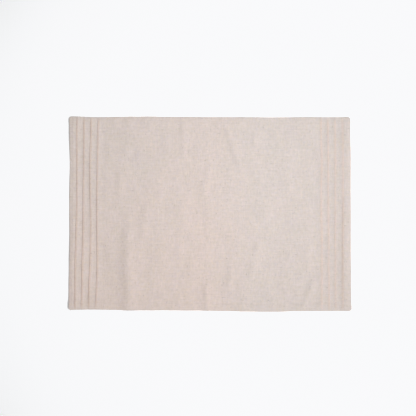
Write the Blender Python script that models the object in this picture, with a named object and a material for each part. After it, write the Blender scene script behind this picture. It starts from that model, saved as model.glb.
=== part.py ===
"""A linen placemat lying flat: one cloth, hemmed all round, with four pin tucks at each end.

The cloth is first laid out straight. One back-and-forth section in X and Z runs from end to end, with
the end hems and the tucks as its folds, and is carried across the depth in Y. The long hems are
turned under and joined on. Then each point is moved to where it lies in the real cloth: the ends,
tucks and long edges stray a little from straight, and the field rises in a few soft creases.

Lengths are in millimetres until the mesh is made. X runs along the mat and Y across it.
"""

import math
from collections import namedtuple

import bmesh
import bpy
from mathutils import Vector

MM = 0.001

# Driving sizes
LENGTH = 480.0
DEPTH = 330.0
CLOTH = 1.0  # thickness of one layer
LAYER_GAP = 0.3  # air between two layers of a fold
END_HEM = 7.0
LONG_HEM = 12.0
TUCK_DEPTH = 3.2  # from a tuck's fold to its seam

# Distance of each tuck's fold from its end of the mat. Every tuck is pressed towards its end.
LEFT_FOLDS = (11.4, 23.3, 35.4, 47.4)
RIGHT_FOLDS = (11.7, 23.9, 36.0, 47.9)

# How far towards +X the ends and the folds stray from straight, at nine places across the depth
Stray = namedtuple(
    "Stray", "y left_end left_1 left_2 left_3 left_4 right_4 right_3 right_2 right_1 right_end"
)
STRAYS = (
    Stray(-165, 0.4, -1.3, -1.9, -1.8, -2.2, 0.9, 1.1, 0.2, 0.2, 1.9),
    Stray(-130, 0.5, -1.2, -1.1, -1.2, -0.4, 0.7, 1.1, -0.2, 0.0, 1.1),
    Stray(-90, 1.5, -0.7, -0.5, 0.5, 0.9, 1.0, 0.4, 0.0, 0.0, 1.0),
    Stray(-45, 2.1, 0.6, 0.6, 1.5, 0.7, 0.9, 0.5, -0.5, 0.1, 0.7),
    Stray(0, 1.6, 1.7, 1.0, 1.6, 0.4, 0.0, 0.2, -0.3, 0.3, 0.8),
    Stray(45, 1.9, 2.2, 1.2, 0.7, 0.7, -0.1, -0.3, -0.5, 0.4, 0.5),
    Stray(90, 2.5, 2.0, 1.9, 0.5, 1.2, 0.6, -0.2, -0.1, 0.4, 0.8),
    Stray(130, 1.8, 1.8, 2.0, 2.0, 1.7, -0.3, -0.5, -0.4, 0.2, 0.2),
    Stray(165, 1.5, 2.6, 2.2, 2.2, 2.9, -0.8, -1.6, -1.2, -0.5, -0.2),
)

# How far towards +Y the long edges stray from straight
Edge = namedtuple("Edge", "x front back")
EDGES = (
    Edge(-240, 2.0, 1.1),
    Edge(-195, 2.6, -0.2),
    Edge(-150, 1.5, 0.4),
    Edge(-75, 1.1, 0.4),
    Edge(0, 0.5, -0.1),
    Edge(40, -0.5, -0.2),
    Edge(75, -1.0, -0.5),
    Edge(110, -1.3, -0.6),
    Edge(150, -0.4, -0.3),
    Edge(195, -0.2, -0.3),
    Edge(240, -0.1, -0.1),
)

# Soft ridges in the field. Each runs from one point to another and fades at both ends. It falls away
# over one width on its left side, seen from its first point, and over the other on its right.
Crease = namedtuple("Crease", "from_x from_y to_x to_y height left_width right_width")
CREASES = (
    Crease(-141, -12, -140, -162, 2.5, 34.0, 14.0),  # the main one, steep towards the left end
    Crease(25, 160, 60, 62, 1.1, 18.0, 10.0),
    Crease(-6, -108, -4, -162, 1.2, 16.0, 12.0),
    Crease(181, -106, 158, -162, 1.6, 16.0, 10.0),
    Crease(86, -40, 68, -114, 1.5, 22.0, 12.0),
    Crease(-46, 160, -42, 80, 1.0, 20.0, 10.0),
    Crease(-108, 22, -111, -46, 0.9, 18.0, 12.0),
    Crease(5, 98, -15, 16, 0.8, 18.0, 10.0),
)
CREASE_FADE = 20.0  # length over which a ridge rises from nothing at each end

# The front left corner stands a little off the table.
CORNER = (-240.0, -165.0)
CORNER_LIFT = 1.5
CORNER_REACH = 42.0

# Fineness of the solid
BEND_STEPS = 3  # straight parts in a half turn of the cloth
FIELD_STEP = 17.0
DEPTH_STEP = 23.0
CREASE_STEP = 6.0  # in the field beside the main crease
HEM_STEP = 12.0  # along a long hem where it passes the tucks
HEM_INSET = 0.1  # how far a long hem's bend reaches into the cloth that it joins
END_INSET = 0.4  # how far a long hem's layer ends inside the ends of the mat

LIFT = CLOTH + LAYER_GAP  # from the middle of one layer to the middle of the next
BEND_RADIUS = LIFT / 2  # to the middle of the cloth
BEND_REACH = BEND_RADIUS + CLOTH / 2  # to the outside of the cloth
GROUND = CLOTH / 2  # height of the middle of a layer that lies on the table
SLOPE = 2.2  # length over which the cloth steps down past the inner edge of a hem
RISE = 2.3  # length over which the cloth rises into a tuck at its seam
LINEN = (0.60, 0.52, 0.48, 1.0)


def smooth(share):
    """An even S from 0 to 1."""
    share = min(max(share, 0.0), 1.0)
    return share * share * (3.0 - 2.0 * share)


def between(pairs, at):
    """The value at a place, read from (place, value) pairs in order of place."""
    if at <= pairs[0][0]:
        return pairs[0][1]
    for (low, low_value), (high, high_value) in zip(pairs, pairs[1:]):
        if at <= high:
            return low_value + (at - low) / (high - low) * (high_value - low_value)
    return pairs[-1][1]


def read(table, column, at):
    """One named column of a table at a place, where the table's first column holds the places."""
    return between([(row[0], getattr(row, column)) for row in table], at)


def half_turn(centre, height, side):
    """Points of a half turn, from below to above. The bend bulges towards side along the section."""
    points = []
    for step in range(BEND_STEPS + 1):
        angle = math.pi * (step / BEND_STEPS - 0.5)
        points.append((centre + side * BEND_RADIUS * math.cos(angle), height + BEND_RADIUS * math.sin(angle)))
    return points


def base_height(inwards):
    """Height of the cloth that carries the tucks: it lies on the end hem, then steps down to the table."""
    return GROUND + LIFT * (1.0 - smooth((inwards - END_HEM - LAYER_GAP) / SLOPE))


def end_section(folds):
    """The section from the inner edge of the end hem to the field, as distances in from the end."""
    points = [(END_HEM, GROUND)]
    points += half_turn(BEND_REACH, GROUND + BEND_RADIUS, -1)
    for share in (0.0, 0.5, 1.0):
        inwards = END_HEM + LAYER_GAP + share * SLOPE
        points.append((inwards, base_height(inwards)))
    for fold in folds:
        seam = fold + TUCK_DEPTH
        foot = seam - BEND_REACH
        points += half_turn(foot, base_height(foot) + BEND_RADIUS, 1)
        lip = fold + BEND_REACH
        points += half_turn(lip, base_height(lip) + LIFT + BEND_RADIUS, -1)
        for share in (0.0, 0.35, 0.7, 1.0):
            points.append((seam - 0.4 + share * RISE, GROUND + 2 * LIFT * (1.0 - smooth(share))))
    return points


def section():
    """The whole section from end to end, as (x, z) points along the middle of the cloth."""
    left = [(-LENGTH / 2 + inwards, height) for inwards, height in end_section(LEFT_FOLDS)]
    right = [(LENGTH / 2 - inwards, height) for inwards, height in end_section(RIGHT_FOLDS)]
    field = [(x, GROUND) for x in field_places(left[-1][0], right[-1][0])]
    return left + field + right[::-1]


def field_places(start, end):
    """Places along the field, close together beside the main crease."""
    places = []
    crease_x = CREASES[0].from_x
    x = start
    while x < end - FIELD_STEP * 1.2:
        near = crease_x - 3 * CREASE_STEP < x + CREASE_STEP < crease_x + 5 * CREASE_STEP
        x += CREASE_STEP if near else FIELD_STEP
        places.append(x)
    return places


def offset(points, distance):
    """The points moved sideways from their line, to its left where distance is positive."""
    moved = []
    for index, (x, z) in enumerate(points):
        before = points[max(index - 1, 0)]
        after = points[min(index + 1, len(points) - 1)]
        normals = []
        for start, end in ((before, (x, z)), ((x, z), after)):
            length = math.dist(start, end)
            if length > 0:
                normals.append((-(end[1] - start[1]) / length, (end[0] - start[0]) / length))
        across = (sum(n[0] for n in normals), sum(n[1] for n in normals))
        size = math.hypot(*across)
        across = (across[0] / size, across[1] / size)
        stretch = across[0] * normals[0][0] + across[1] * normals[0][1]
        moved.append((x + distance * across[0] / stretch, z + distance * across[1] / stretch))
    return moved


def depth_stations():
    """Places across the depth, with the step beside each long hem as two of them."""
    edge = DEPTH / 2 - CLOTH / 2
    hem = DEPTH / 2 - LONG_HEM - LAYER_GAP
    flat = hem - SLOPE
    steps = round(2 * flat / DEPTH_STEP)
    inner = [-flat + 2 * flat * step / steps for step in range(steps + 1)]
    return [-edge, -hem] + inner + [hem, edge]


def hem_lift(y):
    """How far the cloth is raised where it lies on a long hem."""
    return LIFT * min(max((abs(y) - (DEPTH / 2 - LONG_HEM - LAYER_GAP - SLOPE)) / SLOPE, 0.0), 1.0)


def sweep(rings):
    """A closed mesh over a row of rings of equal length. Its caps join opposite points of a ring."""
    mesh = bmesh.new()
    rows = [[mesh.verts.new(point) for point in ring] for ring in rings]
    count = len(rows[0])
    for low, high in zip(rows, rows[1:]):
        for index in range(count):
            after = (index + 1) % count
            mesh.faces.new((low[index], low[after], high[after], high[index]))
    for ring in (rows[0], rows[-1]):
        for index in range(count // 2 - 1):
            mesh.faces.new((ring[index], ring[index + 1], ring[count - 2 - index], ring[count - 1 - index]))
    bmesh.ops.recalc_face_normals(mesh, faces=mesh.faces)
    return mesh


def made_object(name, mesh):
    data = bpy.data.meshes.new(name)
    mesh.to_mesh(data)
    mesh.free()
    made = bpy.data.objects.new(name, data)
    bpy.context.scene.collection.objects.link(made)
    return made


def sheet_mesh():
    """The cloth with its end hems and tucks, still straight."""
    middle = section()
    ring = offset(middle, CLOTH / 2) + offset(middle, -CLOTH / 2)[::-1]
    return sweep([[(x, y, z + hem_lift(y)) for x, z in ring] for y in depth_stations()])


def long_hem_mesh(side):
    """One long hem: a flat layer on the table and the bend that joins it to the cloth's edge."""
    edge = DEPTH / 2
    inner_edge = edge - LONG_HEM
    wall = edge - CLOTH
    radius = (LIFT + CLOTH - HEM_INSET) / 2  # of the bend, which ends just inside the layer above
    profile = [(inner_edge, 0.0)]
    for step in range(BEND_STEPS + 1):
        angle = math.pi * (step / BEND_STEPS - 0.5)
        profile.append((edge - radius + radius * math.cos(angle), radius + radius * math.sin(angle)))
    profile += [(wall - HEM_INSET, LIFT + 2 * HEM_INSET), (wall, LIFT + HEM_INSET)]
    profile += [(wall, CLOTH + HEM_INSET), (wall - LAYER_GAP, CLOTH), (inner_edge, CLOTH)]
    steps = [END_INSET] + [HEM_STEP * count for count in range(1, 5)]
    left = [inwards - LENGTH / 2 for inwards in steps]
    right = [LENGTH / 2 - inwards for inwards in steps[::-1]]
    field = field_places(left[-1], right[0])
    return sweep([[(x, side * y, z) for y, z in profile] for x in left + field + right])


def stray(x, y):
    """How far a point lies from its place in the straight cloth, towards +X and towards +Y."""
    lines = [-LENGTH / 2] + [fold - LENGTH / 2 for fold in LEFT_FOLDS]
    lines += [LENGTH / 2 - fold for fold in RIGHT_FOLDS[::-1]] + [LENGTH / 2]
    strays = [read(STRAYS, column, y) for column in Stray._fields[1:]]
    front = read(EDGES, "front", x)
    back = read(EDGES, "back", x)
    return between(list(zip(lines, strays)), x), front + (back - front) * (y + DEPTH / 2) / DEPTH


def crease_height(x, y):
    """How far the cloth stands off the table at a point, above its layers."""
    height = 0.0
    for crease in CREASES:
        run_x, run_y = crease.to_x - crease.from_x, crease.to_y - crease.from_y
        length = math.hypot(run_x, run_y)
        along = ((x - crease.from_x) * run_x + (y - crease.from_y) * run_y) / length
        aside = ((y - crease.from_y) * run_x - (x - crease.from_x) * run_y) / length
        fade = smooth(along / CREASE_FADE) * smooth((length - along) / CREASE_FADE)
        width = crease.left_width if aside > 0 else crease.right_width
        height += crease.height * fade * (1.0 - smooth(abs(aside) / width))
    corner = math.dist((x, y), CORNER) / CORNER_REACH
    return height + CORNER_LIFT * (1.0 - smooth(corner))


def joined_cloth():
    """The straight cloth with its long hems joined on, as one mesh."""
    cloth = made_object("placemat_cloth", sheet_mesh())
    hems = [made_object("long_hem", long_hem_mesh(side)) for side in (-1, 1)]
    for hem in hems:
        union = cloth.modifiers.new("join hem", "BOOLEAN")
        union.operation = "UNION"
        union.object = hem
    mesh = bmesh.new()
    mesh.from_object(cloth, bpy.context.evaluated_depsgraph_get())
    for made in [cloth] + hems:
        bpy.data.objects.remove(made)
    return mesh


def placemat():
    mesh = joined_cloth()
    for point in mesh.verts:
        x, y, z = point.co
        along, across = stray(x, y)
        x, y = x + along, y + across
        point.co = (x, y, z + crease_height(x, y))
    xs = [point.co.x for point in mesh.verts]
    ys = [point.co.y for point in mesh.verts]
    centre = Vector(((min(xs) + max(xs)) / 2, (min(ys) + max(ys)) / 2, 0.0))
    for point in mesh.verts:
        point.co = (point.co - centre) * MM
    bmesh.ops.triangulate(mesh, faces=mesh.faces)
    return made_object("placemat_cloth", mesh)


def linen():
    material = bpy.data.materials.new("linen")
    material.use_nodes = True
    shader = material.node_tree.nodes["Principled BSDF"]
    shader.inputs["Base Color"].default_value = LINEN
    shader.inputs["Roughness"].default_value = 0.9
    shader.inputs["Metallic"].default_value = 0.0
    return material


for thing in list(bpy.data.objects):
    bpy.data.objects.remove(thing)
mat = placemat()
mat.data.materials.append(linen())
mat.data.shade_smooth()
mat.data.set_sharp_from_angle(angle=math.radians(35))
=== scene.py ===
import math
from collections import namedtuple
from functools import reduce

import bpy
import numpy as np
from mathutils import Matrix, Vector
from mathutils.bvhtree import BVHTree


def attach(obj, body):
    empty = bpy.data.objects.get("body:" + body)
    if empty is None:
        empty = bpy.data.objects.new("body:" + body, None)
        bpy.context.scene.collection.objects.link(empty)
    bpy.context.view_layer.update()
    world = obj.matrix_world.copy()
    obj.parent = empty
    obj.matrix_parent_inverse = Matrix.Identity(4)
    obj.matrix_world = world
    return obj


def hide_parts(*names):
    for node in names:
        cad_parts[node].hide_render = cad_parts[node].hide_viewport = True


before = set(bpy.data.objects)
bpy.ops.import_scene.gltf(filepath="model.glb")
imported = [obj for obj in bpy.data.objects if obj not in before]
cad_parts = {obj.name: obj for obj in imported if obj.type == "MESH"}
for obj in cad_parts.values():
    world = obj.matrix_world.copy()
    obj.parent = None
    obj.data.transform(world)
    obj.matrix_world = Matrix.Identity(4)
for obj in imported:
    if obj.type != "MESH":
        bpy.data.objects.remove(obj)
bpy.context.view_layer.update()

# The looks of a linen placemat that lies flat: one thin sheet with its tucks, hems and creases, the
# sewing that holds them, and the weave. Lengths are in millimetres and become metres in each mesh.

MM = 0.001

# The mat
LENGTH = 480.0
DEPTH = 330.0
CLOTH = 0.28  # thickness of one layer
SNUG = 0.03  # air between two layers that are pressed together
END_HEM = 7.0
LONG_HEM = 12.0
TUCK_DEPTH = 2.8
CORNER_ROUND = 4.0

# Distance of each tuck's fold from its end of the mat
LEFT_FOLDS = (11.4, 23.3, 35.4, 47.4)
RIGHT_FOLDS = (11.7, 23.9, 36.0, 47.9)

# How far towards +X the ends and the folds stray from straight, at places across the depth
Stray = namedtuple(
    "Stray", "y left_end left_1 left_2 left_3 left_4 right_4 right_3 right_2 right_1 right_end"
)
STRAYS = (
    Stray(-165, 0.4, -1.3, -1.9, -1.8, -2.2, 0.9, 1.1, 0.2, 0.2, 1.9),
    Stray(-130, 0.5, -1.2, -1.1, -1.2, -0.4, 0.7, 1.1, -0.2, 0.0, 1.1),
    Stray(-90, 1.5, -0.7, -0.5, 0.5, 0.9, 1.0, 0.4, 0.0, 0.0, 1.0),
    Stray(-45, 2.1, 0.6, 0.6, 1.5, 0.7, 0.9, 0.5, -0.5, 0.1, 0.7),
    Stray(0, 1.6, 1.7, 1.0, 1.6, 0.4, 0.0, 0.2, -0.3, 0.3, 0.8),
    Stray(45, 1.9, 2.2, 1.2, 0.7, 0.7, -0.1, -0.3, -0.5, 0.4, 0.5),
    Stray(90, 2.5, 2.0, 1.9, 0.5, 1.2, 0.6, -0.2, -0.1, 0.4, 0.8),
    Stray(130, 1.8, 1.8, 2.0, 2.0, 1.7, -0.3, -0.5, -0.4, 0.2, 0.2),
    Stray(165, 1.5, 2.6, 2.2, 2.2, 2.9, -0.8, -1.6, -1.2, -0.5, -0.2),
)

# How far each tuck's fold stands open, because no tuck presses quite flat, at places across the depth
Puff = namedtuple("Puff", "y left_1 left_2 left_3 left_4 right_4 right_3 right_2 right_1")
PUFFS = (
    Puff(-165, 0.02, 0.02, 0.03, 0.02, 0.06, 0.06, 0.10, 0.3),
    Puff(-130, 0.02, 0.08, 0.20, 0.09, 0.10, 0.08, 0.25, 0.5),
    Puff(-90, 0.02, 0.14, 0.10, 0.04, 0.12, 0.05, 0.20, 0.8),
    Puff(-45, 0.09, 0.11, 0.02, 0.13, 0.06, 0.10, 0.25, 0.95),
    Puff(0, 0.07, 0.08, 0.03, 0.15, 0.08, 0.05, 0.22, 0.75),
    Puff(45, 0.02, 0.05, 0.16, 0.03, 0.06, 0.08, 0.08, 0.35),
    Puff(90, 0.05, 0.02, 0.06, 0.07, 0.10, 0.05, 0.06, 0.10),
    Puff(130, 0.03, 0.02, 0.07, 0.02, 0.06, 0.10, 0.10, 0.12),
    Puff(165, 0.02, 0.02, 0.02, 0.02, 0.05, 0.06, 0.06, 0.10),
)

# How far towards +Y the long edges stray from straight
Edge = namedtuple("Edge", "x front back")
EDGES = (
    Edge(-240, 2.0, 1.1),
    Edge(-195, 2.6, -0.2),
    Edge(-150, 1.5, 0.4),
    Edge(-75, 1.1, 0.4),
    Edge(0, 0.5, -0.1),
    Edge(40, -0.5, -0.2),
    Edge(75, -1.0, -0.5),
    Edge(110, -1.3, -0.6),
    Edge(150, -0.4, -0.3),
    Edge(195, -0.2, -0.3),
    Edge(240, -0.1, -0.1),
)

# Middle of the uneven mat, from the middle of the straight one. It comes to lie over the origin.
MAT_CENTRE = (1.1, -0.1)

# How the layers lie
STACK = CLOTH + SNUG  # from one layer to the next
GROUND = CLOTH / 2  # height of the middle of cloth that lies on the table
FOOT_RADIUS = STACK / 2  # of the tight bends, in an end's edge and inside a tuck
SEAM_RISE = STACK + CLOTH  # height of a tuck's upper layer at its seam, over the cloth that it lies on
SEAM_DROP = 1.2  # length over which the cloth dips at a tuck's seam
SEAM_SHARE = 0.3  # how much of the tuck's height is lost there
HALFWAY_PUFF = 0.4  # how much of a tuck's opening is left halfway to its seam
FOLD_LIFT = 0.14  # how far the cloth stands off the table beside a tuck's fold
SAG = -0.03  # height that the cloth is drawn towards where it hangs from one tuck to the next
LAST_SLACK = 10.0  # length of the slope from the innermost tuck to the field
STEP_DOWN = 3.5  # length over which the cloth steps down beside a long hem
EDGE_PRESS = 0.85  # how far the tucks are pressed flat at a long edge
EDGE_PRESS_REACH = 11.0  # from the edge to where they aren't pressed
PRESS_TURN = 140.0  # degrees of the bend in a long edge, over which they come to be pressed quite flat
PRESS_REACH = 0.9  # past a fold that is pressed flat, over which the layer below comes up again

# How far the cloth swells over its hems, as (distance in from the edge, height)
HEM_CROWN = ((0.0, 0.0), (1.0, 0.15), (2.5, 0.32), (5.0, 0.46), (8.0, 0.42), (12.0, 0.12))
END_RISE = ((0.0, 0.0), (1.4, 0.2), (3.0, 0.38), (5.0, 0.5), (7.0, 0.53), (8.6, 0.43), (12.0, 0.08))

# Soft ridges. Each runs from one point to another, bowed to its left by bow, and fades at both ends.
# It falls away over left on its left side, seen from its first point, and over right on its right,
# and the longer of the two sides trails off gently.
Crease = namedtuple("Crease", "from_x from_y to_x to_y bow height left right")
CREASES = (
    Crease(-141, -12, -139, -180, 1.0, 1.2, 24.0, 14.0),  # the main one, steep towards the left end
    Crease(-139, -46, -141, -186, 3.0, 1.5, 46.0, 22.0),  # and its wider lower part
    Crease(-151, -90, -150, -128, 0.0, 0.25, 5.0, 5.0),
    Crease(-153, 84, -152, 24, 0.0, 0.5, 12.0, 8.0),
    Crease(25, 160, 60, 62, -2.0, 1.15, 19.0, 8.5),
    Crease(-6, -108, -4, -176, 0.0, 1.2, 16.0, 8.0),
    Crease(181, -106, 155.5, -168, 0.0, 1.9, 16.0, 8.5),
    Crease(86, -40, 68, -114, 0.0, 1.5, 24.0, 11.0),
    Crease(36, -78, 33, -134, 0.0, 0.75, 10.0, 11.0),
    Crease(-46, 164, -42.5, 80, 0.0, 0.95, 24.0, 7.5),
    Crease(5, 98, -15, 16, 0.0, 0.8, 20.0, 10.0),
    Crease(-108, 22, -111, -46, 0.0, 0.85, 20.0, 12.0),
    Crease(-52, -30, -50, -80, 0.0, 0.5, 11.0, 8.0),
    Crease(78, 146, 76, 100, 0.0, 0.6, 11.0, 8.0),
    Crease(136, 72, 135, 32, 0.0, 0.6, 11.0, 8.0),
    Crease(166, -46, 168, -106, 0.0, 0.9, 14.0, 9.0),
    Crease(-51, -124, -52, -174, 0.0, 0.6, 10.0, 8.0),
    Crease(109, -132, 109, -172, 0.0, 0.7, 10.0, 7.0),
    Crease(133, -122, 129, -172, 0.0, 0.7, 9.0, 7.0),
    Crease(-4, 26, -5, -46, 0.0, 0.45, 14.0, 9.0),
    Crease(231.5, 190, 230, -190, 0.0, 0.3, 8.9, 9.0),  # under the last tuck on the right
    Crease(231, 44, 229.6, -176, 0.0, 0.5, 8.9, 9.0),  # and more of it in front
)
CREASE_FADE = 20.0  # length over which a crease fades at each end

# Places where the edge of the mat stands off the table
Lift = namedtuple("Lift", "x y height reach")
LIFTS = (
    Lift(-240, -165, 1.5, 42.0),
    Lift(-242, 128, 0.9, 46.0),
    Lift(-242, -60, 0.4, 50.0),
)

# Slow waves of the whole field, as their lengths and heights. They run mostly across the mat.
WAVES = ((17.0, 0.035), (23.0, 0.05), (31.0, 0.07), (46.0, 0.09), (64.0, 0.1), (88.0, 0.1), (120.0, 0.1))
WAVES_EACH = 3  # waves of each length
WAVE_SPREAD = 0.75  # how far their headings stray from the mat's length, in radians
WAVE_FLOOR = 1.4  # how deep they may dip, where 1 is the root of the sum of their squared heights
WAVE_SEED = 5

# Fineness of the sheet
BEND_STEPS = 6
HIDDEN_STEPS = 3  # the same for the bend inside a tuck
EDGE_STEPS = 7  # and for the bend in a long edge
BEND_GUARD = 0.09  # from a bend to the point beside it
END_PLACES = (0.8, 1.4, 2.2, 3.0, 4.0, 5.0, 6.0, 7.0, 7.8, 8.6, 10.0)  # of points over an end hem
LONG_PLACES = (0.8, 1.7, 2.7, 3.8, 5.2, 7.0, 9.0, 10.8, LONG_HEM)  # the same over a long hem
HANG_SHARES = (0.0, 0.15, 0.3, 0.5, 0.7, 0.87)  # of points along cloth that hangs
STEP_SHARES = (0.25, 0.5, 0.75, 1.0)  # of points along the step beside a long hem
HEM_STEPS = 4  # across the underside of a long hem
FIELD_STEP = 2.9  # along the field
CREASE_STEP = 1.9  # the same where it has fine creases
DENSE_FIELD = ((-160.0, -118.0), (-14.0, 8.0), (20.0, 56.0))  # which is along these stretches of X
DEPTH_STEP = 3.9  # across the field
PRESS_STEP = 0.1  # between the places where the layers of a long hem are measured

# Sewing
LONG_SEAM = 11.0  # from a long edge to the stitches that hold its hem
END_SEAM = 5.8  # the same at an end
TUCK_SEAM = 2.4  # from a tuck's fold to its stitches
SEAM_STOP = 2.2  # from the end of a line of stitches to the edge of the mat
STITCH_PITCH = 2.9
STITCH_LENGTH = 2.35
PITCH_JITTER = 0.06
ASIDE_JITTER = 0.05
LENGTH_JITTER = 0.03  # as a share of the length
STEEPEST_STITCH = 0.6  # most that a stitch climbs, as a share of its length
THREAD = 0.34
PROUD_ABOVE = 0.16  # how far a stitch stands off the cloth's face, in thicknesses of thread
PROUD_BELOW = -0.25  # the same on its underside
STITCH_SEED = 11
GROOVE = 0.1  # depth of the dip that the stitches draw into the cloth
GROOVE_WIDTH = 1.1
GROOVE_UNDER = 0.3  # how much of the dip there is under the middle of a stitch

# A stitch 1 long and 1 thick: rings of points, as (place along it, width, height), and its two tips
STITCH_RINGS = (
    (-0.46, 0.72, -0.42),
    (-0.3, 0.96, 0.0),
    (0.0, 1.0, 0.12),
    (0.3, 0.96, 0.0),
    (0.46, 0.72, -0.42),
)
STITCH_SIDES = 6
STITCH_HALF_HEIGHT = 0.42
TIP_ALONG = 0.53
TIP_HEIGHT = -1.0

# The photograph's frame: how much of the table it shows, and where its middle lies on the mat
FRAME_SPAN = 708.5
FRAME_CENTRE = (-3.5, 10.3)
CAMERA_HEIGHT = 2600.0

# Maps
CUT_MAP = "cut_cloth"  # places in the cloth as it was cut, in metres
TUCK_MAP = "from_tuck"  # the distance from the nearest line where the tucks' painted warm glow is strongest, in metres
THREAD_MAP = "thread"  # along the thread, in millimetres, and round it, in turns

# The weave
YARN = 0.6  # from one yarn to the next
YARN_WANDER = 1.6 * YARN
WANDER_WIDTH, WANDER_LENGTH = 3.0, 40.0  # across and along the yarns that wander together
YARN_BULGE = 0.6  # power that rounds a yarn
CROSSING_BULGE = 0.3  # power that rounds it where it dives under the next
YARN_RELIEF = 0.07
WEAVE_MEAN = 0.62  # mean height of the weave, where its yarns' tops are at 1
WEAVE_SHADE = 0.16  # how much lighter a yarn's top is than the gaps, which is painted shade in the gaps

# Unevenness of the cloth: width and height of its spots, how fine their detail is, the seed of their
# noise, and how strongly they show in the cloth's shade and in its relief
Spots = namedtuple("Spots", "width height detail seed shade relief")
CLOTH_SPOTS = (
    Spots(2.1, 16.0, 3.0, 3.0, 0.2, 0.14),  # slubs of the yarns across the mat
    Spots(24.0, 2.0, 3.0, 4.0, 0.2, 0.15),  # and of those along it
    Spots(4.6, 5.2, 2.0, 5.0, 0.18, 0.3),  # soft patches, from uneven spacing
    Spots(30.0, 42.0, 1.0, 6.0, 0.05, 0.0),  # and wide, faint ones
)
NUB_SPOTS = ((2.1, 7.0, 2.0, 8.0), (7.0, 2.1, 2.0, 9.0))  # width, height, detail and seed
NUB_FROM = 0.15  # height of the noise above which a yarn has a nub
NUB_SHADE = 2.3  # how much darker it is, for each unit of the noise above that

# Spots of other tints: width, height, detail, seed, and how strongly they show
HUE_SPOTS = ((4.5, 4.5, 2.0, 7.0, 1.2), (45.0, 60.0, 2.0, 10.0, 0.28))
BLUE_SPOTS = ((4.5, 4.5, 2.0, 13.0, 0.22), (22.0, 26.0, 2.0, 14.0, 0.09))
# unevenness of the painted warm glow along the folds
GLOW_SPOTS = ((8.0, 20.0, 2.0, 12.0, 1.2),)

# Tints. The cloth's tint lies between warm and cool; its spots are its own, and its turn to cool towards
# the right end is a painted tint of the cooler light there.
LINEN_WARM = (0.622, 0.517, 0.469)
LINEN_COOL = (0.578, 0.5255, 0.4945)
MEAN_HUE = 0.52  # how far from warm to cool its mean is
COOLER_FROM, COOLER_TO = -20.0, 100.0  # stretch of the mat over which its tint turns cooler, a painted tint of the cooler light on that side
COOLER_BY = 0.41
COOLER_BACK = 0.38  # the same from its front to its back
COOLER_BACK_FADE = 0.5  # how much of that is lost at the right
# Painted warm glow along the tucks' folds, standing in for the warm light that bounces in their crevices
PAINTED_GLOW_COLOUR = (0.678, 0.486, 0.395)
GLOW_REACH = (2.9, 4.0)  # how far the painted warm glow reaches, at the left end and at the right
GLOW_SHARE = (0.48, 0.34)  # how much of it there is, in the same way
GLOW_STOP = 9.0  # from a long edge to where the glow begins to fade
GLOW_INSIDE = 0.5  # from a tuck's fold to the line where its painted glow is strongest, on its upper layer
HEM_THREAD = (0.64, 0.56, 0.51)
# warmer than the hem's thread, which adds to the painted warm glow at the tucks
TUCK_THREAD = (0.64, 0.52, 0.44)
THREAD_TWIST = 0.8  # length of one turn of the thread's strands
THREAD_SHADE = 0.9
THREAD_RELIEF = 0.05
STRAND_SHADE = 0.12  # how much lighter a strand's top is than the groove beside it, which is painted shade, and how much its fuzz varies
TABLE = (0.96, 0.96, 0.96)
TABLE_REACH = 6000.0
TABLE_GAP = 0.1  # from the table to the cloth, so that the two don't share a plane

# Light. Each lamp has a name, a size across in metres, a power in watts and a place in metres.
SKY = (0.99, 0.995, 1.0)
AMBIENT = 0.42
LAMPS = (
    ("key_lamp", 1.5, 122.0, (3.1, -1.3, 3.4)),
    ("top_lamp", 0.35, 1.6, (0.10, 0.09, 0.56)),
)

# Tone: how bright each light comes out, and how much of each colour is left at the top
TONE = (
    (0.0, 0.0),
    (0.4, 0.5),
    (0.6, 0.75),
    (0.66, 0.85),
    (0.705, 0.928),
    (0.76, 0.945),
    (0.9, 0.951),
    (1.0, 0.952),
)
WHITE_LEVEL = 1.25
WHITE_FROM = 0.7
WHITE_SHARES = (0.995, 1.0, 1.012)


def smooth(share):
    """An even S from 0 to 1."""
    share = np.clip(share, 0.0, 1.0)
    return share * share * (3.0 - 2.0 * share)


def curve(places, values, at):
    """A smooth curve through (place, value) pairs, read at many places at once."""
    places = np.asarray(places, float)
    values = np.asarray(values, float)
    slopes = np.gradient(values, places)
    low = np.clip(np.searchsorted(places, at) - 1, 0, len(places) - 2)
    step = places[low + 1] - places[low]
    share = np.clip((at - places[low]) / step, 0.0, 1.0)
    rise = smooth(share)
    bend_low = share * (1.0 - share) ** 2
    bend_high = share**2 * (share - 1.0)
    ends = values[low] * (1.0 - rise) + values[low + 1] * rise
    return ends + step * (slopes[low] * bend_low + slopes[low + 1] * bend_high)


def profile(table, place):
    """A height read from (place, height) pairs."""
    places, heights = zip(*table)
    return float(curve(places, heights, np.array([place]))[0])


def column(table, name):
    """One column of a table of named tuples."""
    return [getattr(row, name) for row in table]


def runs_along(points):
    """How far along its line each point is."""
    return np.concatenate([[0.0], np.cumsum(np.hypot(*np.diff(points, axis=0).T))])


def crossings(values, level):
    """Numbers of the points nearest to where a row of values passes a level, in the row's first half."""
    values = np.asarray(values)[: len(values) // 2]
    steps = np.nonzero((values[:-1] - level) * (values[1:] - level) < 0)[0]
    return [int(step + np.argmin(np.abs(values[step : step + 2] - level))) for step in steps]


# ---------------------------------------------------------------- the section from end to end


def half_turn(centre, height, radius, side, steps):
    """Points of a half turn, from below to above. The bend bulges towards side along the section."""
    angles = np.pi * (np.arange(steps + 1) / steps - 0.5)
    return [(centre + side * radius * math.cos(a), height + radius * math.sin(a)) for a in angles]


def guarded_turn(centre, height, radius, side):
    """A half turn with a point of flat cloth close to each end, which keeps the bend's shading off it."""
    turn = half_turn(centre, height, radius, side, BEND_STEPS)
    before = (centre - side * BEND_GUARD, height - radius)
    after = (centre - side * BEND_GUARD, height + radius)
    return [before] + turn + [after]


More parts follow.
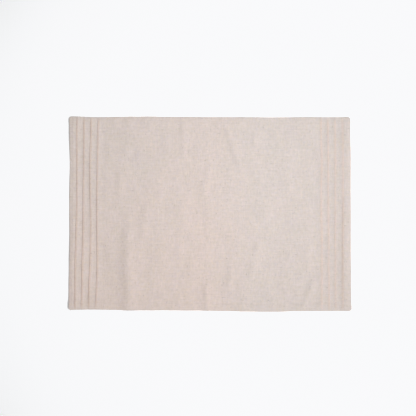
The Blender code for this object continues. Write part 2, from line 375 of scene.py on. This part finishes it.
def hanging(start, start_height, end, end_height, sag):
    """Points of cloth that hangs from one height to another in a curve, drawn towards the height sag.

    The last point is left out.
    """
    points = []
    for share in HANG_SHARES:
        drawn = sag * 2.0 * share * (1.0 - share)
        height = start_height * (1.0 - share) ** 2 + end_height * share**2 + drawn
        points.append((start + share * (end - start), height))
    return points


def end_section(folds, puffs):
    """Points from the inner edge of the end hem to the field, as (distance in from the end, height).

    Also the number of the point on each tuck's fold.
    """
    points = [(END_HEM, GROUND), (END_HEM / 2, GROUND)]
    points += guarded_turn(FOOT_RADIUS + CLOTH / 2, GROUND + FOOT_RADIUS, FOOT_RADIUS, -1)
    for inwards in END_PLACES:
        points.append((inwards, GROUND + STACK + profile(END_RISE, inwards)))
    base = GROUND + STACK + profile(END_RISE, folds[0])
    lips = []
    for number, (fold, puff) in enumerate(zip(folds, puffs)):
        radius = (CLOTH + puff) / 2
        seam = fold + TUCK_DEPTH
        foot = seam - FOOT_RADIUS - CLOTH / 2
        lip = fold + radius + CLOTH / 2
        points.append((fold, base))
        points += half_turn(foot, base + FOOT_RADIUS, FOOT_RADIUS, 1, HIDDEN_STEPS)
        lips.append(len(points) + 1 + BEND_STEPS // 2)
        points += guarded_turn(lip, base + STACK + radius, radius, -1)
        points.append(((lip + seam) / 2, base + SEAM_RISE + puff * HALFWAY_PUFF))
        points.append((seam, base + SEAM_RISE))
        dipped = base - GROUND + SEAM_RISE * (1.0 - SEAM_SHARE)
        points.append((seam + SEAM_DROP / 2, GROUND + (dipped + base - GROUND + SEAM_RISE) / 2))
        last = number == len(folds) - 1
        end = seam + LAST_SLACK if last else folds[number + 1]
        lift = 0.0 if last else FOLD_LIFT
        for place, height in hanging(seam + SEAM_DROP, dipped, end, lift, 0.0 if last else SAG):
            points.append((place, GROUND + height))
        base = GROUND + lift
    points.append((end, GROUND))
    return points, lips


def field_places(start, end):
    """Places along the field, closer together where it has fine creases."""
    places = []
    x = start
    while x < end - FIELD_STEP:
        dense = any(low < x < high for low, high in DENSE_FIELD)
        x += CREASE_STEP if dense else FIELD_STEP
        places.append(x)
    return places


def offset(points, distance):
    """The points moved sideways from their line, to its left where distance is positive."""
    line = np.asarray(points, float)
    run = np.diff(line, axis=0)
    normal = np.stack([-run[:, 1], run[:, 0]], 1) / np.hypot(run[:, 0], run[:, 1])[:, None]
    before = np.vstack([normal[:1], normal])
    after = np.vstack([normal, normal[-1:]])
    across = before + after
    across /= np.hypot(across[:, 0], across[:, 1])[:, None]
    stretch = (across * before).sum(1)
    return line + distance * across / stretch[:, None]


def section(puffs):
    """The middle of the cloth's section as (x, height) rows, and the numbers of those on a fold."""
    left, left_lips = end_section(LEFT_FOLDS, puffs[: len(LEFT_FOLDS)])
    right, right_lips = end_section(RIGHT_FOLDS, puffs[: len(LEFT_FOLDS) - 1 : -1])
    left = [(inwards - LENGTH / 2, height) for inwards, height in left]
    right = [(LENGTH / 2 - inwards, height) for inwards, height in right][::-1]
    field = [(x, GROUND) for x in field_places(left[-1][0], right[0][0])]
    middle = left + field + right
    lips = left_lips + [len(middle) - 1 - number for number in right_lips]
    return np.asarray(middle), lips


def flattened(face, back):
    """The heights of the same rows with their layers pressed into the thickness of one.

    A long hem turns the cloth under like this, so that its tucks don't stand out below.
    """
    places = np.linspace(-LENGTH / 2, LENGTH / 2, round(LENGTH / PRESS_STEP) + 1)
    highest = np.full(len(places), CLOTH)
    for start, end in zip(face[:-1], face[1:]):
        low, high = sorted((start[0], end[0]))
        inside = (places >= low) & (places <= high)
        share = (places[inside] - start[0]) / (end[0] - start[0]) if end[0] != start[0] else 0.0
        height = start[1] + share * (end[1] - start[1])
        highest[inside] = np.maximum(highest[inside], height)
    reach = round(PRESS_REACH / PRESS_STEP)
    press = CLOTH / highest
    wide = np.array([press[max(i - reach, 0) : i + reach + 1].min() for i in range(len(press))])
    kernel = np.ones(2 * reach + 1) / (2 * reach + 1)
    press = np.minimum(np.convolve(np.pad(wide, reach, mode="edge"), kernel, "valid"), press)
    return [row[:, 1] * np.interp(row[:, 0], places, press) for row in (face, back)]


# ---------------------------------------------------------------- the way across the depth

Station = namedtuple("Station", "y z out up press run")


def hem_rows():
    """The way round the back hem, from its inner edge below to the field: (y, z, out, up, press) rows."""
    edge = DEPTH / 2
    turn = SNUG / 2
    centre_y = edge - turn - CLOTH
    centre_z = CLOTH + turn
    rows = []
    for share in np.arange(HEM_STEPS) / HEM_STEPS:
        rows.append((edge - LONG_HEM + share * (centre_y - edge + LONG_HEM), CLOTH, 0.0, -1.0, 1.0))
    for angle in np.radians(np.linspace(180.0, 0.0, EDGE_STEPS + 1)):
        y = centre_y + turn * math.sin(angle)
        z = centre_z + turn * math.cos(angle)
        press = EDGE_PRESS + (1.0 - EDGE_PRESS) * float(smooth(math.degrees(angle) / PRESS_TURN))
        rows.append((y, z, math.sin(angle), math.cos(angle), press))
    for inwards in LONG_PLACES:
        top = centre_z + turn + profile(HEM_CROWN, inwards)
        press = EDGE_PRESS * float(1.0 - smooth(inwards / EDGE_PRESS_REACH))
        rows.append((centre_y - inwards, top, 0.0, 1.0, press))
    hem = centre_y - LONG_HEM
    for share in STEP_SHARES:
        rows.append((hem - share * STEP_DOWN, top * float(1.0 - smooth(share)), 0.0, 1.0, 0.0))
    return rows


def stations():
    """Places along the way across the mat: out of the front hem, round it, over and under again.

    Each has the place (y, z) of the cloth's back there, the direction (out, up) that its face looks
    in, how far its tucks are pressed flat, and how far along the cloth it is.
    """
    hem = hem_rows()
    inner = hem[-1][0]
    count = round(2 * inner / DEPTH_STEP)
    field = [(-inner + 2 * inner * step / count, 0.0, 0.0, 1.0, 0.0) for step in range(1, count)]
    front = [(-y, z, -out, up, press) for y, z, out, up, press in hem]
    made = []
    run = 0.0
    for y, z, out, up, press in front + field + hem[::-1]:
        if made:
            run += math.dist((y, z), (made[-1].y, made[-1].z))
        made.append(Station(y, z, out, up, press, run))
    return made


# ---------------------------------------------------------------- how the cloth lies


def stray(x, y):
    """How far points lie from their places in the straight cloth, towards +X and towards +Y."""
    lines = [-LENGTH / 2] + [fold - LENGTH / 2 for fold in LEFT_FOLDS]
    lines += [LENGTH / 2 - fold for fold in RIGHT_FOLDS[::-1]] + [LENGTH / 2]
    lines = np.asarray(lines)
    places = column(STRAYS, "y")
    strays = np.stack([curve(places, column(STRAYS, name), y) for name in Stray._fields[1:]])
    low = np.clip(np.searchsorted(lines, x) - 1, 0, len(lines) - 2)
    share = np.clip((x - lines[low]) / (lines[low + 1] - lines[low]), 0.0, 1.0)
    points = np.arange(len(x))
    along = strays[low, points] * (1.0 - share) + strays[low + 1, points] * share
    front = curve(column(EDGES, "x"), column(EDGES, "front"), x)
    back = curve(column(EDGES, "x"), column(EDGES, "back"), x)
    return along, front + (back - front) * (y + DEPTH / 2) / DEPTH


def rounded(x, y):
    """Points drawn in from the four sharp corners to round ones."""
    in_x = np.maximum(np.abs(x) - (LENGTH / 2 - CORNER_ROUND), 0.0)
    in_y = np.maximum(np.abs(y) - (DEPTH / 2 - CORNER_ROUND), 0.0)
    shrink = np.maximum(in_x, in_y) / np.maximum(np.hypot(in_x, in_y), 1e-9)
    shrink = np.where((in_x > 0) & (in_y > 0), shrink, 1.0)
    return x - np.sign(x) * in_x * (1.0 - shrink), y - np.sign(y) * in_y * (1.0 - shrink)


def crease_height(x, y):
    """How high the creases and the lifted edges hold the cloth."""
    height = np.zeros(len(x))
    for crease in CREASES:
        run_x, run_y = crease.to_x - crease.from_x, crease.to_y - crease.from_y
        length = math.hypot(run_x, run_y)
        along = ((x - crease.from_x) * run_x + (y - crease.from_y) * run_y) / length
        share = np.clip(along / length, 0.0, 1.0)
        aside = ((y - crease.from_y) * run_x - (x - crease.from_x) * run_y) / length
        aside = aside - crease.bow * 4.0 * share * (1.0 - share)
        fade = smooth(along / CREASE_FADE) * smooth((length - along) / CREASE_FADE)
        apart = np.clip(np.abs(aside) / np.where(aside > 0, crease.left, crease.right), 0.0, 1.0)
        long_side = (aside > 0) == (crease.left > crease.right)
        fall = np.where(long_side, (1.0 - apart) ** 4 * (1.0 + 4.0 * apart), 1.0 - smooth(apart))
        height += crease.height * fade * fall
    for lift in LIFTS:
        height += lift.height * (1.0 - smooth(np.hypot(x - lift.x, y - lift.y) / lift.reach))
    return height


def wave_height(x, y):
    """Slow waves that never dip below the table."""
    draw = np.random.default_rng(WAVE_SEED)
    total = np.zeros(len(x))
    for length, height in WAVES:
        for _ in range(WAVES_EACH):
            heading, phase = draw.uniform(-WAVE_SPREAD, WAVE_SPREAD), draw.uniform(0.0, 2 * math.pi)
            along = x * math.cos(heading) + y * math.sin(heading)
            total += height * np.sin(along * 2 * math.pi / length + phase)
    deepest = WAVE_FLOOR * math.hypot(*[height * WAVES_EACH**0.5 for _, height in WAVES])
    return np.maximum(total + deepest, 0.0)


def laid(points):
    """Points of the straight cloth moved to where they lie. Rows of (x, y, z)."""
    x, y, z = points.T
    x, y = rounded(x, y)
    along, across = stray(x, y)
    x, y = x + along, y + across
    z = z + crease_height(x, y) + wave_height(x, y)
    return np.stack([x - MAT_CENTRE[0], y - MAT_CENTRE[1], z], 1)


# ---------------------------------------------------------------- the sheet


def new_piece(name, points, faces, material):
    """A piece of the mat, from points in millimetres."""
    mesh = bpy.data.meshes.new(name)
    mesh.from_pydata((np.asarray(points) * MM).tolist(), [], faces)
    mesh.update()
    mesh.shade_smooth()
    mesh.materials.append(material)
    piece = bpy.data.objects.new(name, mesh)
    bpy.context.scene.collection.objects.link(piece)
    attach(piece, "root")
    return piece


def add_map(piece, name, places):
    """A map with one place for each corner of the piece's faces."""
    layer = piece.data.uv_layers.new(name=name)
    layer.uv.foreach_set("vector", places.astype(np.float32).ravel())


def sheet_rows():
    """The face and the back of the lying cloth, as arrays of [station, column, xyz].

    Also the middle of a section whose tucks are open by their mean, the stations, and the columns on
    the tucks' folds.
    """
    way = stations()
    across = np.array(column(way, "y"))
    puffs = [curve(column(PUFFS, "y"), column(PUFFS, name), across) for name in Puff._fields[1:]]
    puffs = np.stack(puffs, 1)
    rows = ([], [])
    for station, open_by in zip(way, puffs):
        line, lips = section(open_by)
        sides = offset(line, CLOTH / 2), offset(line, -CLOTH / 2)
        for row, side, flat in zip(rows, sides, flattened(*sides)):
            height = side[:, 1] * (1.0 - station.press) + flat * station.press
            y = station.y + station.out * height
            z = station.z + station.up * height
            row.append(np.stack([side[:, 0], y, z], 1))
    face, back = [laid(np.concatenate(row)).reshape(len(way), len(line), 3) for row in rows]
    return face, back, section(puffs.mean(0))[0], way, lips


def linen_sheet(face, back, middle, way, lips, material):
    """One closed sheet, and the length and depth of the cloth that it was cut from.

    Its maps give each point's place in that cloth and its distance from the nearest line where a tuck's
    painted glow is strongest.
    """
    count = face.shape[1]
    ring = 2 * count
    points = np.concatenate([face, back[:, ::-1]], 1).reshape(-1, 3)
    faces = []
    for start in range(0, (len(way) - 1) * ring, ring):
        for index in range(ring):
            here, after = start + index, start + (index + 1) % ring
            faces.append((after, here, here + ring, after + ring))
    last = (len(way) - 1) * ring
    for index in range(count - 1):
        faces.append((index, index + 1, ring - 2 - index, ring - 1 - index))
        faces.append((last + index + 1, last + index, last + ring - 1 - index, last + ring - 2 - index))
    piece = new_piece("linen_cloth", points, faces, material)

    along = runs_along(middle)
    folds = along[lips]
    folds = folds + GLOW_INSIDE * np.where(folds < folds.mean(), 1.0, -1.0)
    along = np.concatenate([along, along[::-1]])
    cut = np.array([(u, station.run) for station in way for u in along]) * MM
    from_tuck = np.abs(along[:, None] - folds[None, :]).min(1)
    from_tuck = np.stack([np.tile(from_tuck, len(way)), np.zeros(len(cut))], 1) * MM
    corners = np.empty(len(piece.data.loops), int)
    piece.data.loops.foreach_get("vertex_index", corners)
    add_map(piece, CUT_MAP, cut[corners])
    add_map(piece, TUCK_MAP, from_tuck[corners])
    return piece, along[count - 1], way[-1].run


# ---------------------------------------------------------------- sewing


def stitch_form():
    """One stitch 1 long and 1 thick: points as (along, aside, up), its faces, and each corner's place in
    the thread, as (along, around)."""
    points = [(-TIP_ALONG, 0.0, TIP_HEIGHT)]
    for along, wide, up in STITCH_RINGS:
        for side in range(STITCH_SIDES):
            angle = 2 * math.pi * side / STITCH_SIDES
            height = up + wide * math.sin(angle) * STITCH_HALF_HEIGHT
            points.append((along, wide * math.cos(angle) / 2, height))
    points.append((TIP_ALONG, 0.0, TIP_HEIGHT))
    alongs = [ring[0] for ring in STITCH_RINGS]
    last = len(points) - 1
    top = last - STITCH_SIDES
    faces, places = [], []
    for side in range(STITCH_SIDES):
        after = (side + 1) % STITCH_SIDES
        turn, turn_after = side / STITCH_SIDES, (side + 1) / STITCH_SIDES
        faces.append((0, 1 + after, 1 + side))
        places += [(-TIP_ALONG, turn), (alongs[0], turn_after), (alongs[0], turn)]
        for number, (start, end) in enumerate(zip(alongs, alongs[1:])):
            low = 1 + number * STITCH_SIDES
            high = low + STITCH_SIDES
            faces.append((low + side, low + after, high + after, high + side))
            places += [(start, turn), (start, turn_after), (end, turn_after), (end, turn)]
        faces.append((last, top + side, top + after))
        places += [(TIP_ALONG, turn), (alongs[-1], turn), (alongs[-1], turn_after)]
    return np.array(points), faces, np.array(places)


def seam_lines():
    """Lines of stitches on the straight cloth: (from, to) points, for its hems and for its tucks."""
    half_length, half_depth = LENGTH / 2, DEPTH / 2
    front, back = SEAM_STOP - half_depth, half_depth - SEAM_STOP
    hems, tucks = [], []
    for side, folds in ((-1, LEFT_FOLDS), (1, RIGHT_FOLDS)):
        y = side * (half_depth - LONG_SEAM)
        hems.append(((SEAM_STOP - half_length, y), (half_length - SEAM_STOP, y)))
        x = side * (half_length - END_SEAM)
        hems.append(((x, front), (x, back)))
        for fold in folds:
            x = side * (half_length - fold - TUCK_SEAM)
            tucks.append(((x, front), (x, back)))
    return hems, tucks


def seated(tree, places, top):
    """Where points over or under the cloth meet it: rows of (x, y, z), with nan where they miss it."""
    start, heading = (1.0, (0, 0, -1)) if top else (-1.0, (0, 0, 1))
    rows = []
    for x, y in places:
        hit = tree.ray_cast(Vector((x * MM, y * MM, start)), Vector(heading))[0]
        rows.append([c / MM for c in hit] if hit else [np.nan] * 3)
    return np.array(rows)


def sew(name, tree, lines, material):
    """Stitches along (top, line) pairs, in one piece. They are on the cloth's back where top is false."""
    form, faces, places = stitch_form()
    draw = np.random.default_rng(STITCH_SEED)
    points, threads = [], []
    for top, (start, end) in lines:
        start, end = np.array(start), np.array(end)
        length = math.dist(start, end)
        heading = (end - start) / length
        normal = np.array([-heading[1], heading[0]])
        count = int(length / 2 // STITCH_PITCH)
        jitter = draw.normal(0.0, PITCH_JITTER, 2 * count + 1)
        middle = STITCH_PITCH * np.arange(-count, count + 1) + jitter
        aside = draw.normal(0.0, ASIDE_JITTER, (2, len(middle)))
        span = STITCH_LENGTH * (1.0 + draw.normal(0.0, LENGTH_JITTER, len(middle)))
        ends = []
        for share, off in zip((-0.5, 0.5), aside):
            flat = (start + end) / 2 + (middle + share * span)[:, None] * heading + off[:, None] * normal
            flat = laid(np.column_stack([flat, np.zeros(len(flat))]))[:, :2]
            ends.append(seated(tree, flat, top))
        first, second = ends
        run = second - first
        run_length = np.linalg.norm(run, axis=1)
        good = np.isfinite(run_length) & (np.abs(run[:, 2]) < STEEPEST_STITCH * STITCH_LENGTH)
        up = np.array([0.0, 0.0, 1.0 if top else -1.0])
        proud = THREAD * (PROUD_ABOVE if top else PROUD_BELOW)
        for corner, along, size in zip(first[good], run[good], run_length[good]):
            side = np.cross(up, along)
            side /= np.linalg.norm(side)
            over = np.cross(along, side) / size
            centre = corner + along / 2 + over * proud
            round_it = form[:, 1:2] * side + form[:, 2:] * over
            points.append(centre + form[:, :1] * along + round_it * THREAD)
            threads.append(places * (size, 1.0))
    every = [tuple(c + number * len(form) for c in face) for number in range(len(points)) for face in faces]
    piece = new_piece(name, np.concatenate(points), every, material)
    add_map(piece, THREAD_MAP, np.concatenate(threads))
    return piece


def sew_all(sheet):
    """The stitches of the hems, on both sides, and of the tucks."""
    corners = [tuple(vertex.co) for vertex in sheet.data.vertices]
    tree = BVHTree.FromPolygons(corners, [tuple(face.vertices) for face in sheet.data.polygons])
    hems, tucks = seam_lines()
    hem_lines = [(True, line) for line in hems] + [(False, line) for line in hems]
    tuck_lines = [(True, line) for line in tucks]
    hem_piece = sew("hem_stitches", tree, hem_lines, thread_material("hem_thread", HEM_THREAD))
    tuck_piece = sew("tuck_stitches", tree, tuck_lines, thread_material("tuck_thread", TUCK_THREAD))
    return hem_piece, tuck_piece


# ---------------------------------------------------------------- materials


class Nodes:
    """Short ways to put together the nodes of one material."""

    def __init__(self, name):
        self.material = bpy.data.materials.new(name)
        self.material.use_nodes = True
        self.tree = self.material.node_tree
        self.shader = self.tree.nodes["Principled BSDF"]

    def surface(self, **values):
        """Sets the shader's own values. Their names have _ for a space."""
        for name, value in values.items():
            self.shader.inputs[name.replace("_", " ")].default_value = value

    def plug(self, socket, value):
        if isinstance(value, bpy.types.NodeSocket):
            self.tree.links.new(value, socket)
        else:
            socket.default_value = value

    def math(self, operation, *values, clamp=False):
        node = self.tree.nodes.new("ShaderNodeMath")
        node.operation = operation
        node.use_clamp = clamp
        for socket, value in zip(node.inputs, values):
            self.plug(socket, value)
        return node.outputs[0]

    def sum(self, *values):
        return reduce(lambda total, value: self.math("ADD", total, value), values)

    def product(self, *values):
        return reduce(lambda total, value: self.math("MULTIPLY", total, value), values)

    def less(self, value, taken, clamp=False):
        return self.math("SUBTRACT", value, taken, clamp=clamp)

    def map_axes(self, name):
        """The two axes of a map that is in metres, in millimetres."""
        node = self.tree.nodes.new("ShaderNodeUVMap")
        node.uv_map = name
        split = self.tree.nodes.new("ShaderNodeSeparateXYZ")
        self.plug(split.inputs[0], node.outputs[0])
        return [self.product(split.outputs[axis], 1.0 / MM) for axis in range(2)]

    def noise(self, x, y, width, height, detail, seed):
        """Noise around 0, within about 0.5 of it, whose spots are width by height millimetres."""
        place = self.tree.nodes.new("ShaderNodeCombineXYZ")
        self.plug(place.inputs[0], self.math("DIVIDE", x, width))
        self.plug(place.inputs[1], self.math("DIVIDE", y, height))
        self.plug(place.inputs[2], seed)
        node = self.tree.nodes.new("ShaderNodeTexNoise")
        node.inputs["Scale"].default_value = 1.0
        node.inputs["Detail"].default_value = detail
        node.inputs["Roughness"].default_value = 0.55
        self.plug(node.inputs["Vector"], place.outputs[0])
        return self.less(node.outputs[0], 0.5)

    def spotted(self, x, y, base, spots):
        """A base value and the noise of each kind of spot: width, height, detail, seed and share."""
        return self.sum(base, *[self.product(self.noise(x, y, *row[:4]), row[4]) for row in spots])

    def mix(self, share, first, second):
        node = self.tree.nodes.new("ShaderNodeMix")
        node.data_type = "RGBA"
        self.plug(node.inputs["Factor"], share)
        for name, value in (("A", first), ("B", second)):
            socket = [i for i in node.inputs if i.name == name and i.type == "RGBA"][0]
            self.plug(socket, value)
        return [o for o in node.outputs if o.type == "RGBA"][0]

    def scale_colour(self, colour, factor, blue=1.0):
        """The colour made brighter by a factor, and its blue by another on top of that."""
        factors = self.tree.nodes.new("ShaderNodeCombineXYZ")
        for axis, value in enumerate((factor, factor, self.product(factor, blue))):
            self.plug(factors.inputs[axis], value)
        node = self.tree.nodes.new("ShaderNodeVectorMath")
        node.operation = "MULTIPLY"
        self.plug(node.inputs[0], colour)
        self.plug(node.inputs[1], factors.outputs[0])
        return node.outputs[0]

    def ramp(self, value, low, high):
        """An even S from 0 at low to 1 at high."""
        node = self.tree.nodes.new("ShaderNodeMapRange")
        node.interpolation_type = "SMOOTHSTEP"
        self.plug(node.inputs["Value"], value)
        node.inputs["From Min"].default_value = low
        node.inputs["From Max"].default_value = high
        return node.outputs[0]

    def bump(self, height):
        """Relief of a height in millimetres."""
        node = self.tree.nodes.new("ShaderNodeBump")
        node.inputs["Strength"].default_value = 1.0
        node.inputs["Distance"].default_value = MM
        self.plug(node.inputs["Height"], height)
        self.plug(self.shader.inputs["Normal"], node.outputs[0])


def weave_height(n, u, v):
    """Plain weave, from 0 in its gaps to 1 on its yarns. They wander, so that it isn't a ruled grid."""
    wander_u = n.product(n.noise(u, v, WANDER_WIDTH, WANDER_LENGTH, 2.0, 1.0), YARN_WANDER)
    wander_v = n.product(n.noise(u, v, WANDER_LENGTH, WANDER_WIDTH, 2.0, 2.0), YARN_WANDER)
    sine_u = n.math("SINE", n.product(n.sum(u, wander_u), math.pi / YARN))
    sine_v = n.math("SINE", n.product(n.sum(v, wander_v), math.pi / YARN))
    crown_u, crown_v = n.math("ABSOLUTE", sine_u), n.math("ABSOLUTE", sine_v)
    over = n.math("GREATER_THAN", n.product(sine_u, sine_v), 0.0)
    across, along = [
        n.product(n.math("POWER", crown, YARN_BULGE), n.math("POWER", other, CROSSING_BULGE))
        for crown, other in ((crown_u, crown_v), (crown_v, crown_u))
    ]
    return n.sum(n.product(across, over), n.product(along, n.less(1.0, over)))


def linen_tint(n, u, v, centre_v, cooler):
    """The cloth's colour, cooler towards its back and in spots, and cooler towards its right end as a
    painted tint of the cooler light there.
    """
    back = n.less(n.ramp(v, centre_v - DEPTH / 2, centre_v + DEPTH / 2), 0.5)
    back = n.product(back, n.less(1.0, n.product(cooler, COOLER_BACK_FADE)))
    hue = n.sum(MEAN_HUE - COOLER_BY / 2, n.product(cooler, COOLER_BY), n.product(back, COOLER_BACK))
    hue = n.spotted(u, v, hue, HUE_SPOTS)
    hue = n.math("MAXIMUM", n.math("MINIMUM", hue, 1.0), 0.0)
    return n.mix(hue, (*LINEN_WARM, 1.0), (*LINEN_COOL, 1.0))


def painted_fold_glow(n, u, v, from_v, tuck, cooler):
    """How much painted warm glow shows at the folds, uneven along each, fainter and wider at the right end.
    """
    reach, share = [
        n.sum(left, n.product(cooler, right - left)) for left, right in (GLOW_REACH, GLOW_SHARE)
    ]
    uneven = n.spotted(u, v, 1.0, GLOW_SPOTS)
    pressed = n.ramp(n.math("ABSOLUTE", from_v), DEPTH / 2 - GLOW_STOP, DEPTH / 2)
    glow = n.less(1.0, n.math("DIVIDE", tuck, reach), clamp=True)
    return n.product(glow, share, uneven, n.less(1.0, pressed))


def seam_groove(n, across, along, line):
    """How deep the cloth dips at one line of stitches, from 0 to 1, deeper between the stitches."""
    apart = n.math("ABSOLUTE", n.less(across, line))
    near = n.less(1.0, n.ramp(apart, 0.0, GROOVE_WIDTH))
    pitch = n.math("COSINE", n.product(along, 2 * math.pi / STITCH_PITCH))
    mean, swing = (1.0 + GROOVE_UNDER) / 2, (1.0 - GROOVE_UNDER) / 2
    return n.product(near, n.less(mean, n.product(pitch, swing)))


def seam_grooves(n, tuck, from_u, from_v, middle, way):
    """The dips along all the seams, from 0 to 1.

    A hem's seam passes through two layers, so it shows twice in the cloth as it was cut.
    """
    from_seam = n.math("ABSOLUTE", n.less(tuck, TUCK_SEAM - GLOW_INSIDE))
    aside_u, aside_v = n.math("ABSOLUTE", from_u), n.math("ABSOLUTE", from_v)
    grooves = [seam_groove(n, from_seam, from_v, 0.0)]
    runs = runs_along(middle)
    for number in crossings(middle[:, 0], END_SEAM - LENGTH / 2):
        grooves.append(seam_groove(n, aside_u, from_v, abs(runs[number] - runs[-1] / 2)))
    for number in crossings(column(way, "y"), LONG_SEAM - DEPTH / 2):
        grooves.append(seam_groove(n, aside_v, from_u, abs(way[number].run - way[-1].run / 2)))
    return reduce(lambda deepest, groove: n.math("MAXIMUM", deepest, groove), grooves)


def linen_material(middle, way):
    """Plain-weave linen: uneven yarns over and under each other, some of them thick and darker."""
    n = Nodes("linen_weave")
    u, v = n.map_axes(CUT_MAP)
    tuck, _ = n.map_axes(TUCK_MAP)
    centre_u, centre_v = runs_along(middle)[-1] / 2, way[-1].run / 2
    from_u, from_v = n.less(u, centre_u), n.less(v, centre_v)
    cooler = n.ramp(u, centre_u + COOLER_FROM, centre_u + COOLER_TO)
    weave = weave_height(n, u, v)
    spots = [n.noise(u, v, *kind[:4]) for kind in CLOTH_SPOTS]
    nubs = [n.math("MAXIMUM", n.less(n.noise(u, v, *kind), NUB_FROM), 0.0) for kind in NUB_SPOTS]
    shade = n.sum(
        1.0,
        *[n.product(spot, kind.shade) for spot, kind in zip(spots, CLOTH_SPOTS)],
        n.product(n.sum(*nubs), -NUB_SHADE),
        # painted shade in the gaps of the weave
        n.product(n.less(weave, WEAVE_MEAN), WEAVE_SHADE),
    )
    colour = linen_tint(n, u, v, centre_v, cooler)
    # painted warm glow at the tucks' folds, mixed into the cloth's colour
    colour = n.mix(painted_fold_glow(n, u, v, from_v, tuck, cooler), colour, (*PAINTED_GLOW_COLOUR, 1.0))
    blue = n.spotted(u, v, 1.0, BLUE_SPOTS)
    n.plug(n.shader.inputs["Base Color"], n.scale_colour(colour, shade, blue))
    relief = n.sum(
        n.product(seam_grooves(n, tuck, from_u, from_v, middle, way), -GROOVE),
        n.product(weave, YARN_RELIEF),
        *[n.product(spot, kind.relief) for spot, kind in zip(spots, CLOTH_SPOTS) if kind.relief],
    )
    n.bump(relief)
    n.surface(Roughness=0.92, Specular_IOR_Level=0.25, Sheen_Weight=0.12, Sheen_Roughness=0.6)
    return n.material


def thread_material(name, colour):
    """Matt sewing thread of two strands twisted together."""
    n = Nodes(name)
    along, around = [n.product(axis, MM) for axis in n.map_axes(THREAD_MAP)]
    turns = n.less(n.math("DIVIDE", along, THREAD_TWIST), around)
    strand = n.math("ABSOLUTE", n.math("SINE", n.product(turns, math.pi)))
    fuzz = n.noise(along, around, 0.25, 0.3, 2.0, 11.0)
    # painted shade in the grooves between the strands, and the fuzz's own unevenness
    shade = n.sum(THREAD_SHADE, n.product(strand, STRAND_SHADE), n.product(fuzz, STRAND_SHADE))
    n.plug(n.shader.inputs["Base Color"], n.scale_colour(colour, shade))
    n.bump(n.product(strand, THREAD_RELIEF))
    n.surface(Roughness=0.75, Specular_IOR_Level=0.35, Sheen_Weight=0.1)
    return n.material


def table_material():
    n = Nodes("table")
    n.surface(Base_Color=(*TABLE, 1.0), Roughness=0.6)
    return n.material


# ---------------------------------------------------------------- stage


def stage():
    """The table, the light round it and the lamps over it."""
    reach = TABLE_REACH * MM
    mesh = bpy.data.meshes.new("table_top")
    corners = [(-reach, -reach, 0.0), (reach, -reach, 0.0), (reach, reach, 0.0), (-reach, reach, 0.0)]
    mesh.from_pydata(corners, [], [(0, 1, 2, 3)])
    mesh.materials.append(table_material())
    table = bpy.data.objects.new("table_top", mesh)
    table.location = (0.0, 0.0, -TABLE_GAP * MM)
    bpy.context.scene.collection.objects.link(table)

    world = bpy.data.worlds.new("studio")
    bpy.context.scene.world = world
    world.use_nodes = True
    background = world.node_tree.nodes["Background"]
    background.inputs["Color"].default_value = (*SKY, 1.0)
    background.inputs["Strength"].default_value = AMBIENT

    for name, size, power, place in LAMPS:
        light = bpy.data.lights.new(name, "AREA")
        light.shape = "DISK"
        light.size = size
        light.energy = power
        lamp = bpy.data.objects.new(name, light)
        lamp.location = place
        lamp.rotation_euler = (-lamp.location).to_track_quat("-Z", "Y").to_euler()
        bpy.context.scene.collection.objects.link(lamp)


def tone():
    """Plain colours, with the brightest of them held just under white, and a little blue."""
    settings = bpy.context.scene.view_settings
    settings.view_transform = "Standard"
    settings.use_curve_mapping = True
    mapping = settings.curve_mapping
    mapping.white_level = (WHITE_LEVEL,) * 3
    for number, share in enumerate(WHITE_SHARES):
        line = mapping.curves[number].points
        line[0].location = TONE[0]
        line[1].location = (TONE[-1][0], TONE[-1][1] * share)
        for place, height in TONE[1:-1]:
            line.new(place, height * (share if place > WHITE_FROM else 1.0))
    mapping.update()


def camera():
    """The photograph's camera, straight above the mat."""
    lens = bpy.data.cameras.new("camera")
    lens.lens = lens.sensor_width * CAMERA_HEIGHT / FRAME_SPAN
    eye = bpy.data.objects.new("camera", lens)
    eye.location = (FRAME_CENTRE[0] * MM, FRAME_CENTRE[1] * MM, CAMERA_HEIGHT * MM)
    bpy.context.scene.collection.objects.link(eye)
    bpy.context.scene.camera = eye


tone()
stage()
camera()
face, back, middle, way, lips = sheet_rows()
linen = linen_material(middle, way)
sheet, cut_length, cut_depth = linen_sheet(face, back, middle, way, lips, linen)
stitches = sew_all(sheet)
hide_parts("placemat_cloth")
